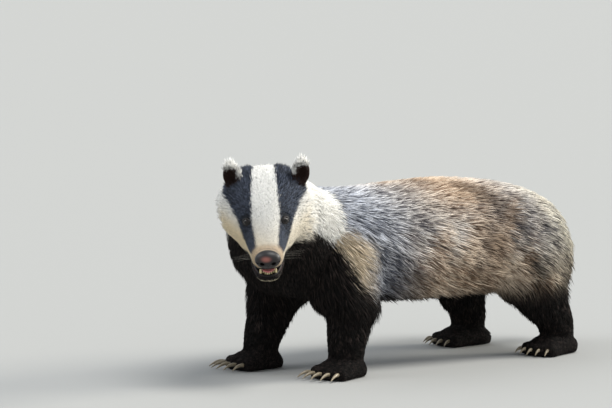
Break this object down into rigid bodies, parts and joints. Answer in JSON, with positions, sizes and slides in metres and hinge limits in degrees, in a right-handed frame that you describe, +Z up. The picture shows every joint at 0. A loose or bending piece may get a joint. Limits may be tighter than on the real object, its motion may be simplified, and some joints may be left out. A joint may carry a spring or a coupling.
{
  "type": "european badger",
  "caption": "Standing european badger, life size, with a striped face, a turned head, a slightly open mouth, a bristly coat and long claws.",
  "frame": {"origin": "on the floor, under the middle of the bounding box", "axes": "+Z up; the badger faces -X, so its left side is -Y; its head is turned to its left"},
  "size_m": [0.7162, 0.2854, 0.3199],
  "materials": {
    "face_fur": "short dense fur",
    "jaw_fur": "short dark fur",
    "tongue": "wet skin",
    "nose_skin": "moist bare skin",
    "eye_gloss": "wet and glossy",
    "ear_fur": "short fur",
    "neck_fur": "coarse fur",
    "body_fur": "long bristly fur",
    "leg_fur": "short dark fur",
    "claw_horn": "worn horn",
    "tail_fur": "coarse pale fur"
  },
  "bodies": {
    "root": {"claw_fore_left_1": "claw_horn", "claw_fore_left_2": "claw_horn", "claw_fore_left_3": "claw_horn", "claw_fore_left_4": "claw_horn", "claw_fore_left_5": "claw_horn", "claw_fore_right_1": "claw_horn", "claw_fore_right_2": "claw_horn", "claw_fore_right_3": "claw_horn", "claw_fore_right_4": "claw_horn", "claw_fore_right_5": "claw_horn", "claw_hind_left_1": "claw_horn", "claw_hind_left_2": "claw_horn", "claw_hind_left_3": "claw_horn", "claw_hind_left_4": "claw_horn", "claw_hind_left_5": "claw_horn", "claw_hind_right_1": "claw_horn", "claw_hind_right_2": "claw_horn", "claw_hind_right_3": "claw_horn", "claw_hind_right_4": "claw_horn", "claw_hind_right_5": "claw_horn", "ear_left": "ear_fur", "ear_right": "ear_fur", "eye_left": "eye_gloss", "eye_right": "eye_gloss", "fore_foot_left": "leg_fur", "fore_foot_right": "leg_fur", "fore_leg_left": "leg_fur", "fore_leg_right": "leg_fur", "head": "face_fur", "hind_foot_left": "leg_fur", "hind_foot_right": "leg_fur", "hind_leg_left": "leg_fur", "hind_leg_right": "leg_fur", "lower_jaw": "jaw_fur", "neck": "neck_fur", "nose": "nose_skin", "tail": "tail_fur", "tongue": "tongue", "torso": "body_fur"}
  },
  "joints": []
}
